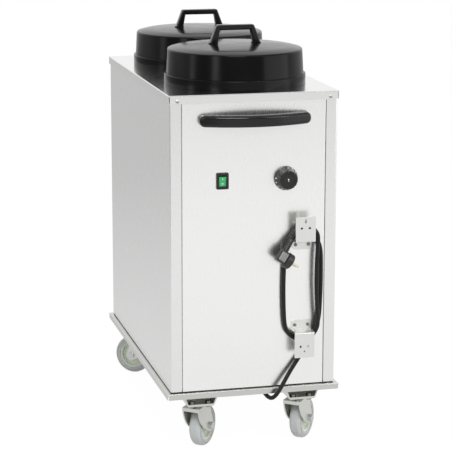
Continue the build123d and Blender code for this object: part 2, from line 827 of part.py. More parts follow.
def cord_bracket_screws():
    screws = []
    for x, z in bracket_screw_places():
        seat = front_y - bracket_sheet
        screw = peg(x, seat, front_y + 2 * sheet, z, bracket_screw_d)
        head = peg(x, seat - bracket_screw_head_h, seat, z, bracket_screw_head_d)
        head = fillet(head.edges().sort_by(Axis.Y)[0], bracket_screw_head_h / 2)
        screws.append(screw + head)
    return all_of(screws)


# Mains lead

def terminal_box():
    """Junction box screwed under the tray, where the lead comes in."""
    y0 = front_y + terminal_inset
    box = block(terminal_x - terminal_w / 2, terminal_x + terminal_w / 2, y0, y0 + terminal_d,
                tray_under - terminal_h, tray_under)
    return fillet(box.edges().filter_by(Axis.Z), terminal_r)


def cord_gland():
    """Tapered gland on the box's front face."""
    cone = turned([(0, 0), (gland_d / 2, 0), (gland_d / 2, gland_l / 4), (gland_nose_d / 2, gland_l),
                   (0, gland_l)])
    return Pos(terminal_x, front_y + terminal_inset, gland_z) * Rot(90, 0, 0) * cone


plug_along = Vector(sin(radians(plug_lean_deg)), 0, -cos(radians(plug_lean_deg)))
plug_rise = Vector(cos(radians(plug_lean_deg)), 0, sin(radians(plug_lean_deg)))
plug_up = plug_rise * cos(radians(plug_tilt_deg)) + Vector(0, sin(radians(plug_tilt_deg)), 0)
plug_face = Vector(bracket_x - plug_aside, front_y - plug_off, bracket_upper_z - plug_drop)
cord_end = plug_face - plug_along * relief_depth + plug_up * relief_end
loop_end = cord_end + plug_up * loop_last_run
gland_mouth = Vector(terminal_x, front_y + terminal_inset - gland_l, gland_z)


def lead_points():
    """The free stretch: out of the gland, round the tray's rim and up to the lower bracket."""
    straight_end = gland_mouth - Vector(0, lead_straight, 0)
    round_rim = [Vector(bracket_x + x, front_y - off, rim_z + z) for x, off, z in lead_route]
    return [gland_mouth, straight_end] + round_rim


def rise_points():
    """The stretch behind the lower bracket, up to the first long side of the winding."""
    return [Vector(bracket_x + x, front_y - loop_near, bracket_lower_z + z) for x, z in rise_route]


def lead_meets_winding():
    """Place on the straight run that the lead and the winding share."""
    first = lead_points()[-1]
    return first + (rise_points()[0] - first) * meet_share


def turn_points(centre_x, centre_z, radius, first_deg, last_deg, first_off, last_off):
    """Points of one turn of the winding round a bracket."""
    points = []
    for i in range(loop_steps + 1):
        share = i / loop_steps
        angle = radians(first_deg + (last_deg - first_deg) * share)
        off = first_off + (last_off - first_off) * share
        points.append(Vector(centre_x + radius * cos(angle), front_y - off, centre_z + radius * sin(angle)))
    return points


def side_points(first, last, bow):
    """Points of one long side of the winding, bowed sideways."""
    points = []
    for i in range(1, side_steps):
        share = i / side_steps
        points.append(first + (last - first) * share + Vector(bow * sin(pi * share), 0, 0))
    return points


def winding_points():
    """One and a half loops round the two brackets, ending at the plug."""
    rise = rise_points()
    top = turn_points(bracket_x - loop_first_aside, bracket_upper_z - loop_first_drop, loop_first_r,
                      0, 180, loop_near, loop_near)
    bottom = turn_points(bracket_x - loop_lower_aside, bracket_lower_z + loop_lower_rise, loop_lower_r,
                         180, 360, loop_near, loop_far)
    last_centre = loop_end + plug_along * loop_last_r
    last_off = front_y - loop_end.Y
    last = turn_points(last_centre.X, last_centre.Z, loop_last_r, 0, 90 + plug_lean_deg, loop_far, last_off)
    route = [lead_meets_winding()] + rise
    route += side_points(rise[-1], top[0], side_bow_first)
    route += top + side_points(top[-1], bottom[0], side_bow_left) + bottom
    route += side_points(bottom[-1], last[0], side_bow_last)
    return route + last + [cord_end]


def tube_path(points):
    """Straight runs joined by tangent arcs as large as the runs allow."""
    radii = []
    for a, b, c in zip(points, points[1:], points[2:]):
        turn = (b - a).get_angle(c - b)
        shorter = min((b - a).length, (c - b).length)
        radii.append(bend_share * shorter / tan(radians(turn) / 2))
    print("cord radii", [round(r) for r in radii])
    return FilletPolyline(*points, radius=radii)


def cord_tube(name, points):
    path = tube_path(points)
    start = Plane(origin=path @ 0, z_dir=path % 0)
    tube = sweep(start * Circle(cord_d / 2), path=path)
    share = tube.volume / (pi * cord_d ** 2 / 4 * path.length)
    samples = [path @ (i / gap_samples) for i in range(gap_samples + 1)]
    apart = int(gap_apart_diameters * cord_d / path.length * gap_samples) + 1
    gap = self_gap(samples, apart, cord_d)
    print(name, "length", round(path.length, 1), "volume share", round(share, 4),
          "least self gap", round(gap, 2))
    return tube


def plug_frame():
    return Plane(origin=plug_face, x_dir=plug_up, z_dir=plug_along)


def plug_body():
    """Right-angle plug: round face, narrower back, ribbed strain relief."""
    face = disc(0, 0, -plug_face_l, 0, plug_face_d)
    face = fillet(face.edges().filter_by(GeomType.CIRCLE), plug_face_r)
    back = block(-plug_back_low, plug_back_high, -plug_back_w / 2, plug_back_w / 2,
                 -plug_back_l, -plug_face_l / 2)
    back = fillet(back.edges().filter_by(Axis.Z) + back.faces().sort_by(Axis.Z)[0].edges(), plug_back_r)
    length = relief_end - plug_back_high + plug_back_r
    taper = turned([(0, 0), (relief_d / 2, 0), (relief_end_d / 2, length), (0, length)])
    pitch = (length - 2 * plug_back_r) / relief_ribs
    for i in range(relief_ribs):
        z = plug_back_r + pitch * (i + 0.5)
        ring = disc(0, 0, z - relief_rib_w / 2, z + relief_rib_w / 2, 2 * relief_d)
        core = relief_d / 2 - (relief_d - relief_end_d) / 2 * z / length - relief_groove
        taper -= ring - disc(0, 0, z - relief_rib_w / 2, z + relief_rib_w / 2, 2 * core)
    relief = Pos(plug_back_high - plug_back_r, 0, -relief_depth) * Rot(0, 90, 0) * taper
    plug = face + back + relief
    for side in (-1, 1):
        plug -= disc(0, side * pin_spacing / 2, -plug_pin_root, 0, plug_pin_d)
    return plug_frame().location * plug


def plug_pins():
    pins = []
    for side in (-1, 1):
        pin = disc(0, side * pin_spacing / 2, -plug_pin_root, plug_pin_l, plug_pin_d)
        pin = fillet(pin.edges().sort_by(Axis.Z)[-1], plug_pin_d / 4)
        pins.append(plug_frame().location * pin)
    return all_of(pins)


# Castors

def castor_places():
    front = front_y + castor_inset
    rear = rear_y - castor_inset
    return {"front_left": (-castor_x, front), "front_right": (castor_x, front),
            "rear_left": (-castor_x, rear), "rear_right": (castor_x, rear)}


def castor_channels():
    """Pressed channel between the tray and each castor's top plate, closed at its inner end."""
    channels = []
    half_floor = channel_floor_w / 2
    half_top = channel_top_w / 2
    s = channel_sheet
    z0 = channel_floor_z
    z1 = tray_under
    foot = half_top + channel_foot_w
    right = [(half_floor, z0), (half_top, z1 - s), (foot, z1 - s), (foot, z1), (half_top - s, z1),
             (half_floor - s, z0 + s)]
    outline = right + [(-x, z) for x, z in reversed(right)]
    for x, y in castor_places().values():
        face = make_face(Polyline(*[(px, 0, pz) for px, pz in outline], close=True))
        channel = extrude(face, plate_l / 2, dir=(0, 1, 0), both=True)
        inward = 1 if y < body_y else -1
        corners = [(half_floor, 0, z0), (half_top, 0, z1), (-half_top, 0, z1), (-half_floor, 0, z0)]
        wall = make_face(Polyline(*corners, close=True))
        channel += Pos(0, inward * (plate_l / 2 - s), 0) * extrude(wall, s, dir=(0, inward, 0))
        for bx in (-castor_bolt_x, castor_bolt_x):
            for by in (-castor_bolt_y, castor_bolt_y):
                channel -= disc(bx, by, z0, z0 + s, castor_bolt_d + hole_play)
        channels.append(Pos(x, y, 0) * channel)
    return all_of(channels)


def castor_plates():
    """Top plate with its race and the king pin that the fork turns on."""
    plates = []
    for x, y in castor_places().values():
        plate = block(-plate_w / 2, plate_w / 2, -plate_l / 2, plate_l / 2, plate_z, plate_z + plate_t)
        for bx in (-castor_bolt_x, castor_bolt_x):
            for by in (-castor_bolt_y, castor_bolt_y):
                plate -= disc(bx, by, plate_z, plate_z + plate_t, castor_bolt_d + hole_play)
        plate += disc(0, 0, fork_top + race_play, plate_z, race_d)
        head_top = fork_crown_z - race_play
        plate += disc(0, 0, head_top, plate_z, king_pin_d)
        plate += disc(0, 0, head_top - king_head_h, head_top, king_head_d)
        plates.append(Pos(x, y, 0) * plate)
    return all_of(plates)


def castor_bolts():
    """Hexagon bolts inside the channel with nuts under the plate."""
    bolts = []
    head_z = channel_floor_z + channel_sheet
    for x, y in castor_places().values():
        for bx in (-castor_bolt_x, castor_bolt_x):
            for by in (-castor_bolt_y, castor_bolt_y):
                bolt = hexagon_stud(x + bx, y + by, head_z, head_z + castor_bolt_head_h, castor_bolt_head_d)
                bolt += disc(x + bx, y + by, plate_z - castor_nut_h, head_z, castor_bolt_d)
                bolt += hexagon_stud(x + bx, y + by, plate_z - castor_nut_h, plate_z, castor_bolt_head_d)
                bolts.append(bolt)
    return all_of(bolts)


def placed(name, shape):
    """Turn a castor piece to its heading and put it under its corner."""
    x, y = castor_places()[name]
    return Pos(x, y, 0) * Rot(0, 0, castor_headings[name]) * shape


def castor_fork():
    """Pressed fork: crown with a turned-down front lip and two broad cheeks that narrow to the axle."""
    foot_back = castor_trail + fork_foot_r
    low = axle_z - fork_foot_r
    foot_side = fork_foot_r * sin(pi / 4)
    foot = Vector(castor_trail - foot_side, axle_z - foot_side)
    brow = Vector(-fork_front, fork_edge_z)
    run = (brow - foot).normalized()
    belly = (foot + brow) * 0.5 + Vector(-run.Y, run.X) * fork_belly
    outline = [
        Line((-fork_front, fork_edge_z), (-fork_front, fork_top)),
        Line((-fork_front, fork_top), (fork_back, fork_top)),
        Line((fork_back, fork_top), (foot_back, axle_z)),
        ThreePointArc((foot_back, axle_z), (castor_trail, low), foot),
        ThreePointArc(foot, belly, brow),
    ]
    side = Plane.XZ * make_face(outline)
    fork = extrude(side, fork_outer, dir=(0, 1, 0), both=True)
    fork -= block(-fork_front, foot_back, -fork_inner, fork_inner, 0, fork_crown_z)
    fork += block(-fork_front, -fork_front + fork_sheet, -fork_outer, fork_outer,
                  fork_crown_z - fork_lip_h, fork_top)
    ridges = [e for e in fork.faces().sort_by(Axis.Z)[-1].edges() if e.center().X < fork_back - edge_band]
    fork = fillet(ridges, fork_bend_r)
    fork -= disc(0, 0, fork_crown_z, fork_top, king_pin_d + 2 * running_play)
    return fork - peg(castor_trail, -fork_outer, fork_outer, axle_z, axle_d + hole_play)


def castor_axle():
    """Axle bolt with its head on one leg and its nut on the other."""
    axle = peg(castor_trail, -fork_outer, fork_outer, axle_z, axle_d)
    for y0, y1 in ((-fork_outer - axle_head_h, -fork_outer), (fork_outer, fork_outer + axle_head_h)):
        ends = extrude(Plane(origin=(castor_trail, y0, axle_z), z_dir=(0, 1, 0))
                       * RegularPolygon(axle_head_d / 2, 6, major_radius=False), y1 - y0)
        axle += ends
    return axle


def wheel_piece(points):
    """Ring turned about the wheel's axle from (radius, side) points."""
    return Pos(castor_trail, 0, axle_z) * Rot(90, 0, 0) * turned(points)


def wheel_hub():
    """Moulded hub: boss, thin web, and a rim under the tyre."""
    bore = axle_d / 2 + running_play
    rim_r = wheel_d / 2 - tyre_t
    right = [(bore, hub_half), (hub_boss_d / 2, hub_half), (hub_boss_d / 2, hub_web_w / 2),
             (rim_r - hub_rim_t, hub_web_w / 2), (rim_r - hub_rim_t, hub_rim_w / 2), (rim_r, hub_rim_w / 2)]
    return wheel_piece(right + [(r, -y) for r, y in reversed(right)])


def wheel_tyre():
    """Rubber tyre with rounded shoulders and a groove round each side wall."""
    r = wheel_d / 2
    inner = r - tyre_t
    tyre = turned([(inner, -tyre_w / 2), (r, -tyre_w / 2), (r, tyre_w / 2), (inner, tyre_w / 2)])
    shoulders = [e for e in tyre.edges().filter_by(GeomType.CIRCLE) if e.radius > r - edge_band]
    tyre = fillet(shoulders, tyre_r)
    for side in (-1, 1):
        z0, z1 = sorted((side * tyre_w / 2, side * (tyre_w / 2 - tyre_groove_d)))
        groove_d = wheel_d - tyre_t
        tyre -= disc(0, 0, z0, z1, groove_d + tyre_groove_w) - disc(0, 0, z0, z1, groove_d - tyre_groove_w)
    return Pos(castor_trail, 0, axle_z) * Rot(90, 0, 0) * tyre


def write(name, shape):
    export_step(shape, "parts/" + name + ".step")


os.makedirs("parts", exist_ok=True)
right_panel = side_panel()
write("base_tray", base_tray())
write("base_seal", base_seal())
write("side_panel_right", right_panel)
write("side_panel_left", mirror(right_panel, about=Plane.YZ))
write("front_panel", front_panel())
write("rear_panel", end_panel(rear_y, -1))
write("top_cover", top_cover())
write("cover_rivets", cover_rivets())
write("inner_deck", inner_deck())
for place, y in well_ys.items():
    write("well_" + place, well(y))
    write("platform_" + place, platform(y))
    write("platform_spring_" + place, platform_spring(y))
    write("lid_" + place, lid(y))
    write("lid_handle_" + place, lid_handle(y))
    write("lid_screws_" + place, lid_screws(y))
write("plate_guides", plate_guides())
write("heating_elements", heating_elements())
write("push_handle", push_handle())
write("push_handle_screws", push_handle_screws())
write("switch_housing", switch_housing())
write("switch_rocker", switch_rocker())
write("thermostat_body", thermostat_body())
write("thermostat_shaft", thermostat_shaft())
write("thermostat_knob", thermostat_knob())
write("cord_bracket_upper", cord_bracket(bracket_upper_z, 1))
write("cord_bracket_lower", cord_bracket(bracket_lower_z, -1))
write("cord_bracket_screws", cord_bracket_screws())
write("terminal_box", terminal_box())
write("cord_gland", cord_gland())
write("cord_lead", cord_tube("cord_lead", lead_points() + [lead_meets_winding()]))
write("cord_winding", cord_tube("cord_winding", winding_points()))
write("plug_body", plug_body())
write("plug_pins", plug_pins())
write("castor_channels", castor_channels())
write("castor_plates", castor_plates())
write("castor_bolts", castor_bolts())
fork = castor_fork()
axle = castor_axle()
hub = wheel_hub()
tyre = wheel_tyre()
for name in castor_headings:
    write("castor_fork_" + name, placed(name, fork))
    write("castor_axle_" + name, placed(name, axle))
    write("wheel_hub_" + name, placed(name, hub))
    write("wheel_tyre_" + name, placed(name, tyre))
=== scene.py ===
import bpy
from math import cos, pi, radians, sin
from mathutils import Matrix, Vector


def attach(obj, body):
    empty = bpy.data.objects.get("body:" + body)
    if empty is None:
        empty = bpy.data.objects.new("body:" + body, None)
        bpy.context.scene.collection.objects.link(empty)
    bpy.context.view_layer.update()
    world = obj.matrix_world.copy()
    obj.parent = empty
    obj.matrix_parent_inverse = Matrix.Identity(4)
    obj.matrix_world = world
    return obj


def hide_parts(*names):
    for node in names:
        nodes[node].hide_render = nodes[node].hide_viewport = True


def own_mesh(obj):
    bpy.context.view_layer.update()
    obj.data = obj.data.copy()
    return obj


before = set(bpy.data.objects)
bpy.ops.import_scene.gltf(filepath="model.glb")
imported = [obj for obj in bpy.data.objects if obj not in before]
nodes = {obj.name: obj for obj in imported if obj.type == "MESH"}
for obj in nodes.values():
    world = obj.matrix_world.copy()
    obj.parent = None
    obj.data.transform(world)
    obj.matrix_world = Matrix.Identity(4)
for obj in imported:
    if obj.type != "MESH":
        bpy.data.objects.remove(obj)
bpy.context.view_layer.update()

# Base tray: one sheet of stainless steel, folded down round its edge and left open at the corners.
# It carries the cabinet above and the castors below, and its faces are ground to a fine satin.


def brushed_grain():
    """Shader group: the fine drawn lines of ground sheet, and faint clouds between them."""
    group = bpy.data.node_groups.new("brushed_grain", "ShaderNodeTree")
    group.interface.new_socket("Vector", in_out="INPUT", socket_type="NodeSocketVector")
    group.interface.new_socket("Lines per metre", in_out="INPUT", socket_type="NodeSocketVector")
    group.interface.new_socket("Lines", in_out="OUTPUT", socket_type="NodeSocketFloat")
    group.interface.new_socket("Clouds", in_out="OUTPUT", socket_type="NodeSocketFloat")
    start = group.nodes.new("NodeGroupInput")
    end = group.nodes.new("NodeGroupOutput")
    stretch = group.nodes.new("ShaderNodeVectorMath")
    stretch.operation = "MULTIPLY"
    drawn = group.nodes.new("ShaderNodeTexNoise")
    drawn.inputs["Scale"].default_value = 1.0
    drawn.inputs["Detail"].default_value = 3.0
    cloud = group.nodes.new("ShaderNodeTexNoise")
    cloud.inputs["Scale"].default_value = 5.0
    cloud.inputs["Detail"].default_value = 2.0
    group.links.new(start.outputs["Vector"], stretch.inputs[0])
    group.links.new(start.outputs["Lines per metre"], stretch.inputs[1])
    group.links.new(stretch.outputs[0], drawn.inputs["Vector"])
    group.links.new(start.outputs["Vector"], cloud.inputs["Vector"])
    group.links.new(drawn.outputs["Fac"], end.inputs["Lines"])
    group.links.new(cloud.outputs["Fac"], end.inputs["Clouds"])
    return group


def ramp(tree, value, low, high, at_low, at_high):
    """Turn a value that runs from low to high into one that runs from at_low to at_high."""
    span = tree.nodes.new("ShaderNodeMapRange")
    span.inputs["From Min"].default_value = low
    span.inputs["From Max"].default_value = high
    span.inputs["To Min"].default_value = at_low
    span.inputs["To Max"].default_value = at_high
    tree.links.new(value, span.inputs["Value"])
    return span.outputs["Result"]


def tinted(tree, mask, first, second):
    """A colour that goes from the first to the second with a mask."""
    shade = tree.nodes.new("ShaderNodeMix")
    shade.data_type = "RGBA"
    shade.inputs["A"].default_value = (first[0], first[1], first[2], 1.0)
    shade.inputs["B"].default_value = (second[0], second[1], second[2], 1.0)
    tree.links.new(mask, shade.inputs["Factor"])
    return shade.outputs["Result"]


def relief(tree, height, strength, depth):
    """The normal of a surface that is raised by a height."""
    raised = tree.nodes.new("ShaderNodeBump")
    raised.inputs["Strength"].default_value = strength
    raised.inputs["Distance"].default_value = depth
    tree.links.new(height, raised.inputs["Height"])
    return raised.outputs["Normal"]


grain_group = brushed_grain()
noise_low, noise_high = 0.3, 0.7
cloud_tone = (0.98, 0.98, 0.982)
grain_gloss, grain_strength, grain_depth = 0.01, 0.005, 0.0002


def sheet_steel(name, tint, roughness, lines):
    """Stainless sheet ground along one axis; its gloss and its height follow the drawn lines."""
    material = bpy.data.materials.new(name)
    material.use_nodes = True
    tree = material.node_tree
    steel = tree.nodes["Principled BSDF"]
    steel.inputs["Metallic"].default_value = 1.0
    place = tree.nodes.new("ShaderNodeTexCoord")
    grain = tree.nodes.new("ShaderNodeGroup")
    grain.node_tree = grain_group
    grain.inputs["Lines per metre"].default_value = lines
    tree.links.new(place.outputs["Object"], grain.inputs["Vector"])
    clouded = [part * tone for part, tone in zip(tint, cloud_tone)]
    colour = tinted(tree, grain.outputs["Clouds"], clouded, tint)
    gloss = ramp(tree, grain.outputs["Lines"], noise_low, noise_high,
                 roughness - grain_gloss, roughness + grain_gloss)
    normal = relief(tree, grain.outputs["Lines"], grain_strength, grain_depth)
    tree.links.new(colour, steel.inputs["Base Color"])
    tree.links.new(gloss, steel.inputs["Roughness"])
    tree.links.new(normal, steel.inputs["Normal"])
    return material


def dress(material, *names):
    """Give CAD nodes their finish."""
    for name in names:
        if not nodes[name].material_slots:
            nodes[name].data.materials.append(material)
        for place in nodes[name].material_slots:
            place.material = material


tray_steel = sheet_steel("tray_steel", (0.64, 0.645, 0.62), roughness=0.3, lines=(25.0, 25.0, 2600.0))
dress(tray_steel, "base_tray")

# Seal: a strip of black rubber squeezed between the tray and the cabinet's lower edge.
# It shows only as the dark line above the tray's rim.


def moulded_skin():
    """Shader group: the fine pebble of a moulded skin, and slow patches of more and less gloss."""
    group = bpy.data.node_groups.new("moulded_skin", "ShaderNodeTree")
    group.interface.new_socket("Vector", in_out="INPUT", socket_type="NodeSocketVector")
    group.interface.new_socket("Pebbles per metre", in_out="INPUT", socket_type="NodeSocketFloat")
    group.interface.new_socket("Pebble", in_out="OUTPUT", socket_type="NodeSocketFloat")
    group.interface.new_socket("Patch", in_out="OUTPUT", socket_type="NodeSocketFloat")
    start = group.nodes.new("NodeGroupInput")
    end = group.nodes.new("NodeGroupOutput")
    pebble = group.nodes.new("ShaderNodeTexNoise")
    pebble.inputs["Detail"].default_value = 2.0
    patch = group.nodes.new("ShaderNodeTexNoise")
    patch.inputs["Scale"].default_value = 18.0
    patch.inputs["Detail"].default_value = 3.0
    group.links.new(start.outputs["Vector"], pebble.inputs["Vector"])
    group.links.new(start.outputs["Pebbles per metre"], pebble.inputs["Scale"])
    group.links.new(start.outputs["Vector"], patch.inputs["Vector"])
    group.links.new(pebble.outputs["Fac"], end.inputs["Pebble"])
    group.links.new(patch.outputs["Fac"], end.inputs["Patch"])
    return group


skin_group = moulded_skin()
skin_strength = 0.25
gloss_low, gloss_high = 0.85, 1.15


def moulding(name, colour, pale, roughness, pebbles, depth, specular):
    """Moulded plastic or rubber: colour and gloss drift in patches over a pebbled skin."""
    material = bpy.data.materials.new(name)
    material.use_nodes = True
    tree = material.node_tree
    plastic = tree.nodes["Principled BSDF"]
    plastic.inputs["Specular IOR Level"].default_value = specular
    place = tree.nodes.new("ShaderNodeTexCoord")
    skin = tree.nodes.new("ShaderNodeGroup")
    skin.node_tree = skin_group
    skin.inputs["Pebbles per metre"].default_value = pebbles
    tree.links.new(place.outputs["Object"], skin.inputs["Vector"])
    shade = tinted(tree, skin.outputs["Patch"], colour, pale)
    gloss = ramp(tree, skin.outputs["Patch"], noise_low, noise_high,
                 roughness * gloss_low, roughness * gloss_high)
    normal = relief(tree, skin.outputs["Pebble"], skin_strength, depth)
    tree.links.new(shade, plastic.inputs["Base Color"])
    tree.links.new(gloss, plastic.inputs["Roughness"])
    tree.links.new(normal, plastic.inputs["Normal"])
    return material


seal_rubber = moulding("seal_rubber", (0.012, 0.012, 0.012), (0.02, 0.02, 0.02),
                       roughness=0.6, pebbles=900.0, depth=0.0002, specular=0.3)
dress(seal_rubber, "base_seal")

# Cabinet walls: two stainless side panels bent round the corners, and a front and a rear panel
# set between them with a narrow gap. The grain of the sheet runs upright on all four.
upright_lines = (2600.0, 2600.0, 24.0)
side_steel = sheet_steel("side_steel", (0.85, 0.855, 0.845), roughness=0.27, lines=upright_lines)
# The front panel's steel is the side panels' steel made paler; that extra brightness is painted light.
front_steel_painted_light = sheet_steel("front_steel_painted_light", (0.94, 0.945, 0.925), roughness=0.27, lines=upright_lines)
dress(side_steel, "side_panel_left", "side_panel_right", "rear_panel")
dress(front_steel_painted_light, "front_panel")

# Top cover: a polished stainless sheet with turned-down flanges, riveted to the side panels.
# The lids mirror in it, because it is brighter than the walls.
cover_steel = sheet_steel("cover_steel", (0.80, 0.805, 0.79), roughness=0.17, lines=(2200.0, 25.0, 2200.0))
rivet_steel = sheet_steel("rivet_steel", (0.40, 0.40, 0.39), roughness=0.34, lines=(300.0, 300.0, 300.0))
dress(cover_steel, "top_cover")
dress(rivet_steel, "cover_rivets")

# Inside: the deck, the two well tubes hung in the cover, the upright guide rods and the heating
# loops, all of plain steel that never gets polished.
inner_steel = sheet_steel("inner_steel", (0.66, 0.67, 0.67), roughness=0.34, lines=(40.0, 40.0, 900.0))
rod_steel = sheet_steel("rod_steel", (0.55, 0.55, 0.56), roughness=0.3, lines=(60.0, 60.0, 700.0))
sheath_steel = sheet_steel("sheath_steel", (0.22, 0.20, 0.19), roughness=0.45, lines=(260.0, 260.0, 260.0))
dress(inner_steel, "inner_deck", "well_front", "well_rear")
dress(rod_steel, "plate_guides")
dress(sheath_steel, "heating_elements")

# Plate platforms: shallow steel dishes on coil springs. Each spring is one wire wound to an
# open coil; it stands on the deck and closes up as the stack of plates pushes its dish down.
platform_steel = sheet_steel("platform_steel", (0.74, 0.75, 0.75),
                             roughness=0.28, lines=(600.0, 30.0, 600.0))
dress(platform_steel, "platform_front", "platform_rear")
spring_foot, spring_head = 0.2018, 0.8432
spring_wire, spring_coil, spring_turns = 0.005, 0.17, 9
turn_points = 12


def round_wire(name, route, thickness, round_steps, run_steps):
    """A round wire along one smooth curve, which the points of a route pull into shape."""
    wire = bpy.data.curves.new(name, "CURVE")
    wire.dimensions = "3D"
    wire.bevel_depth = thickness / 2
    wire.bevel_resolution = round_steps
    wire.resolution_u = run_steps
    wire.use_fill_caps = True
    strand = wire.splines.new("NURBS")
    strand.points.add(len(route) - 1)
    for point, at in zip(strand.points, route):
        point.co = (at.x, at.y, at.z, 1.0)
    strand.order_u = 3
    strand.use_endpoint_u = True
    piece = bpy.data.objects.new(name, wire)
    bpy.context.scene.collection.objects.link(piece)
    return piece


def only(thing):
    """Make one object the whole selection."""
    bpy.ops.object.select_all(action="DESELECT")
    thing.select_set(True)
    bpy.context.view_layer.objects.active = thing


def own_copy(thing, name):
    """A copy of a piece, with a mesh of its own."""
    twin = bpy.data.objects.new(name, thing.data.copy())
    bpy.context.scene.collection.objects.link(twin)
    return twin


spring_rise = spring_head - spring_foot - spring_wire
coil_steps = turn_points * spring_turns
coil_route = []
for i in range(coil_steps + 1):
    turn = 2 * pi * i / turn_points
    height = spring_foot + spring_wire / 2 + spring_rise * i / coil_steps
    coil_route.append(Vector((spring_coil / 2 * cos(turn), spring_coil / 2 * sin(turn), height)))
coil = round_wire("platform_coil", coil_route, spring_wire, round_steps=3, run_steps=4)
only(coil)
bpy.ops.object.convert(target="MESH")
coil = bpy.context.view_layer.objects.active
coil.data.materials.append(rod_steel)
for place, y in (("front", -0.167), ("rear", 0.205)):
    spring = own_copy(coil, "platform_coil_" + place)
    spring.location.y = y
    only(spring)
    bpy.ops.object.transform_apply(location=True, rotation=True, scale=True)
    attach(spring, "cabinet")
    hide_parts("platform_spring_" + place)
    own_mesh(spring)
bpy.data.objects.remove(coil)

# Lids: each a black moulding with a stepped skirt and a crowned top. A bridge handle of the same
# plastic stands on two pads, and screws from below hold it.
lid_plastic = moulding("lid_plastic", (0.0016, 0.0017, 0.0018), (0.0028, 0.0029, 0.003),
                       roughness=0.19, pebbles=160.0, depth=0.00008, specular=0.17)
grip_plastic = moulding("grip_plastic", (0.0022, 0.0022, 0.0024), (0.0035, 0.0035, 0.0038),
                        roughness=0.16, pebbles=200.0, depth=0.00008, specular=0.4)
screw_steel = sheet_steel("screw_steel", (0.62, 0.63, 0.63), roughness=0.32, lines=(400.0, 400.0, 400.0))
dress(lid_plastic, "lid_front", "lid_rear")
dress(grip_plastic, "lid_handle_front", "lid_handle_rear")
dress(screw_steel, "lid_screws_front", "lid_screws_rear")

# Push handle: a bow of glossy black plastic whose two feet stand on the front panel.
# Its screws come through the panel from inside.
dress(grip_plastic, "push_handle")
dress(screw_steel, "push_handle_screws")

# Mains switch: a black housing with a rounded rim, snapped into the front panel, and a green rocker
# with a faint glow that is painted light. A bar and a ring are moulded on the rocker in white.
housing_plastic = moulding("housing_plastic", (0.010, 0.010, 0.010), (0.016, 0.016, 0.016),
                           roughness=0.35, pebbles=700.0, depth=0.0001, specular=0.35)
lens_green = moulding("lens_green", (0.016, 0.23, 0.075), (0.025, 0.30, 0.10),
                      roughness=0.2, pebbles=300.0, depth=0.0001, specular=0.4)
mark_paint = moulding("mark_paint", (0.72, 0.74, 0.70), (0.80, 0.81, 0.78),
                      roughness=0.45, pebbles=900.0, depth=0.00005, specular=0.4)
# The rocker's emission is painted light: a faint green glow with no lit lamp behind it.
painted_glow = lens_green.node_tree.nodes["Principled BSDF"]
painted_glow.inputs["Emission Color"].default_value = (0.06, 0.42, 0.15, 1.0)
painted_glow.inputs["Emission Strength"].default_value = 0.22
dress(housing_plastic, "switch_housing")
dress(lens_green, "switch_rocker")
switch_at, rocker_lean = Vector((-0.0755, -0.3485, 0.658)), radians(8.0)
mark_off, mark_rise = 0.0078, 0.0058
bar_size, bar_edge = (0.0011, 0.0005, 0.0044), 0.00015
ring_r, ring_wire, ring_flat = 0.0018, 0.0005, 0.5
face_on = Matrix.Rotation(radians(90), 4, "X")


def soften(edge, segments):
    """Bevel every edge of the active object."""
    bpy.ops.object.mode_set(mode="EDIT")
    bpy.ops.mesh.select_all(action="SELECT")
    bpy.ops.mesh.bevel(offset=edge, segments=segments)
    bpy.ops.object.mode_set(mode="OBJECT")


def soft_block(sizes, edge):
    """A block of the given sizes at the origin, with softened edges."""
    bpy.ops.object.select_all(action="DESELECT")
    bpy.ops.mesh.primitive_cube_add(size=1.0)
    block = bpy.context.active_object
    block.scale = sizes
    bpy.ops.object.transform_apply(location=False, rotation=False, scale=True)
    soften(edge, 2)
    return block


def joined(things, name, material):
    """Join mesh objects into one piece of one finish, with its placing taken into the mesh."""
    bpy.ops.object.select_all(action="DESELECT")
    for thing in things:
        thing.select_set(True)
    bpy.context.view_layer.objects.active = things[0]
    bpy.ops.object.join()
    bpy.ops.object.transform_apply(location=True, rotation=True, scale=True)
    whole = bpy.context.view_layer.objects.active
    whole.name = name
    whole.data.materials.clear()
    whole.data.materials.append(material)
    return whole


rocker_face = Matrix.Translation(switch_at) @ Matrix.Rotation(rocker_lean, 4, "X")
bar = soft_block(bar_size, bar_edge)
bar.matrix_world = rocker_face @ Matrix.Translation((0, -mark_off, mark_rise))
bpy.ops.object.select_all(action="DESELECT")
bpy.ops.mesh.primitive_torus_add(major_radius=ring_r, minor_radius=ring_wire,
                                 major_segments=32, minor_segments=8)
ring = bpy.context.active_object
bpy.ops.object.mode_set(mode="EDIT")
bpy.ops.mesh.select_all(action="SELECT")
bpy.ops.transform.resize(value=(1.0, 1.0, ring_flat))
bpy.ops.object.mode_set(mode="OBJECT")
ring.matrix_world = rocker_face @ Matrix.Translation((0, -mark_off, -mark_rise)) @ face_on
rocker_marks = joined([bar, ring], "rocker_marks", mark_paint)
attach(rocker_marks, "switch_rocker")

# Thermostat: a body behind the panel with its shaft through it, and a tapered black knob pushed on
# the shaft. The knob has finger flutes, and white figures and ticks stand on its skirt.
knob_plastic = moulding("knob_plastic", (0.012, 0.012, 0.012), (0.018, 0.018, 0.018),
                        roughness=0.3, pebbles=800.0, depth=0.0001, specular=0.3)
inner_plastic = moulding("inner_plastic", (0.03, 0.03, 0.032), (0.05, 0.05, 0.052),
                         roughness=0.5, pebbles=600.0, depth=0.0002, specular=0.4)
dress(knob_plastic, "thermostat_knob")
dress(inner_plastic, "thermostat_body")
dress(screw_steel, "thermostat_shaft")
knob_at = Vector((0.0755, -0.3543, 0.658))
collar_h, skirt_r, face_r, knob_h = 0.004, 0.028, 0.0215, 0.0262
taper = (skirt_r - face_r) / (knob_h - collar_h)
towards = Vector((0, -1, 0))
mark_count, figure_every = 13, 3
first_angle, angle_step = 84.0, 22.5
figure_h, figure_t, figure_up = 0.0105, 0.0002, 0.0100
tick_size, tick_up = (0.0026, 0.0060, 0.0005), 0.0095
